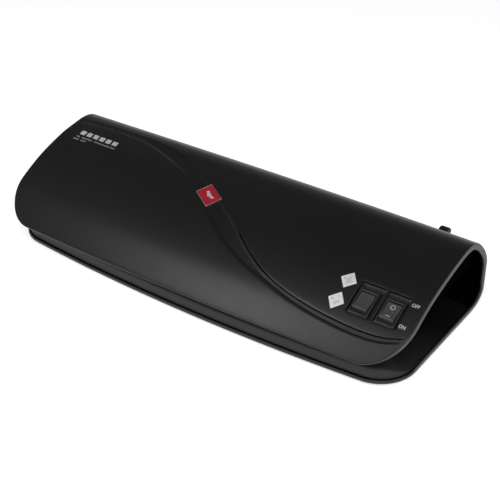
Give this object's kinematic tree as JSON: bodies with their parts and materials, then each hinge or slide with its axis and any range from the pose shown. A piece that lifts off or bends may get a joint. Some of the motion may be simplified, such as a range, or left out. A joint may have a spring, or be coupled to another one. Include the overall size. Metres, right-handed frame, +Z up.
{
  "type": "pouch laminator",
  "caption": "Black desktop pouch laminator: curved wrap-around cover over an entry tray, heated roller pair, gear drive, rocker switches and a jam-release lever.",
  "frame": {"origin": "centre of the overall box, on the plane of the feet", "axes": "+X along the length, to the right seen from the entry side; -Y the entry side; +Z up"},
  "size_m": [0.335, 0.144, 0.0629],
  "materials": {
    "shell": "fine textured, satin",
    "casing": "satin",
    "end_panel": "matt",
    "foot_rubber": "matt",
    "zinc_steel": "zinc plated",
    "bright_steel": "bright",
    "silicone": "matt",
    "white_polymer": "satin",
    "plate_aluminium": "brushed",
    "heater_strip": "matt",
    "lever_black": "satin",
    "board_green": "satin",
    "relay_black": "gloss",
    "capacitor_sleeve": "gloss",
    "switch_black": "satin",
    "gloss_black": "gloss",
    "badge_red": "gloss",
    "label_white": "satin"
  },
  "bodies": {
    "casing": {"top_cover": "shell", "base_casing": "casing", "entry_tray": "casing", "left_end_cap": "end_panel", "right_end_cap": "end_panel", "front_left_foot": "foot_rubber", "front_right_foot": "foot_rubber", "rear_left_foot": "foot_rubber", "rear_right_foot": "foot_rubber", "cord_gland": "foot_rubber", "left_side_frame": "zinc_steel", "right_side_frame": "zinc_steel", "motor_bracket": "zinc_steel", "drive_motor": "zinc_steel", "thermostat": "zinc_steel", "front_left_frame_screw": "bright_steel", "front_right_frame_screw": "bright_steel", "rear_left_frame_screw": "bright_steel", "rear_right_frame_screw": "bright_steel", "idler_pin": "bright_steel", "lower_left_bush": "white_polymer", "lower_right_bush": "white_polymer", "thermal_fuse": "white_polymer", "exit_guide": "white_polymer", "lower_heater_plate": "plate_aluminium", "upper_heater_plate": "plate_aluminium", "lower_heating_element": "heater_strip", "upper_heating_element": "heater_strip", "control_board": "board_green", "board_relay": "relay_black", "board_capacitor": "capacitor_sleeve", "power_switch_body": "switch_black", "selector_switch_body": "switch_black", "front_badge": "badge_red", "thick_pouch_label": "label_white", "thin_pouch_label": "label_white"},
    "lower_roller": {"lower_roller_shaft": "bright_steel", "lower_roller_sleeve": "silicone", "lower_roller_gear": "white_polymer"},
    "upper_roller": {"upper_roller_shaft": "bright_steel", "upper_roller_sleeve": "silicone", "upper_roller_gear": "white_polymer"},
    "upper_cradle": {"upper_left_bush": "white_polymer", "upper_right_bush": "white_polymer", "left_pressure_spring": "bright_steel", "right_pressure_spring": "bright_steel"},
    "idler": {"idler_gear": "white_polymer"},
    "pinion": {"motor_pinion": "white_polymer"},
    "release": {"release_lever": "lever_black", "release_shaft": "bright_steel", "left_release_cam": "white_polymer", "right_release_cam": "white_polymer"},
    "power_key": {"power_rocker": "switch_black"},
    "selector_key": {"selector_rocker": "gloss_black"}
  },
  "joints": [
    {"name": "lower_roller_spin", "type": "hinge", "parent": "casing", "child": "lower_roller", "pos_m": [0, 0.01, 0.0143], "axis": [1, 0, 0], "continuous": true},
    {"name": "cradle_lift", "type": "slide", "parent": "casing", "child": "upper_cradle", "axis": [0, 0, 1], "range_m": [0, 0.00171]},
    {"name": "upper_roller_spin", "type": "hinge", "parent": "upper_cradle", "child": "upper_roller", "pos_m": [0, 0.01, 0.0316], "axis": [1, 0, 0], "continuous": true},
    {"name": "idler_spin", "type": "hinge", "parent": "casing", "child": "idler", "pos_m": [-0.1286, 0.02903, 0.017], "axis": [1, 0, 0], "continuous": true},
    {"name": "pinion_spin", "type": "hinge", "parent": "casing", "child": "pinion", "pos_m": [-0.1286, 0.03234, 0.033], "axis": [1, 0, 0], "continuous": true},
    {"name": "release_tilt", "type": "hinge", "parent": "casing", "child": "release", "pos_m": [0.1318, 0.03, 0.035], "axis": [-1, 0, 0], "range_deg": [0, 30]},
    {"name": "power_key_tilt", "type": "hinge", "parent": "casing", "child": "power_key", "pos_m": [0.1466, -0.03447, 0.03945], "axis": [1, 0, 0], "range_deg": [0, 18]},
    {"name": "selector_key_tilt", "type": "hinge", "parent": "casing", "child": "selector_key", "pos_m": [0.1271, -0.03447, 0.03945], "axis": [1, 0, 0], "range_deg": [0, 18]}
  ],
  "couplings": [
    {"joint": "upper_roller_spin", "follows": "lower_roller_spin", "ratio": -1},
    {"joint": "idler_spin", "follows": "lower_roller_spin", "ratio": -0.81818},
    {"joint": "pinion_spin", "follows": "lower_roller_spin", "ratio": 1.5},
    {"joint": "release_tilt", "follows": "cradle_lift", "rad_per_m": 306.5}
  ]
}
